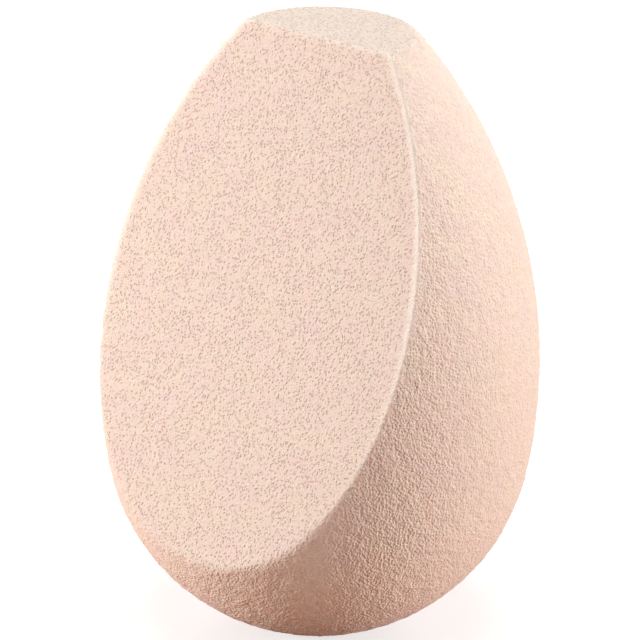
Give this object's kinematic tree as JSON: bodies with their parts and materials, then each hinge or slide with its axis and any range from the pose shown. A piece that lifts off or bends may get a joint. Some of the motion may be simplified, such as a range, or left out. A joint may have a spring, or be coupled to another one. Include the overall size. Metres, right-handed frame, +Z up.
{
  "type": "makeup sponge",
  "caption": "Egg-shaped soft foam makeup sponge with a large slanted flat cut and a small flat tip, for dabbing and blending cosmetics on the face.",
  "frame": {"origin": "centre of the small flat on the round end that the sponge stands on", "axes": "+Z up the egg's axis from the round end to the tip, the slanted cut faces -Y, +X across the cut"},
  "size_m": [0.043, 0.0404, 0.0606],
  "materials": {
    "foam": "matte open-cell foam, fine on the outside and coarser on the cut faces"
  },
  "bodies": {
    "root": {"foam_body": "foam"}
  },
  "joints": []
}
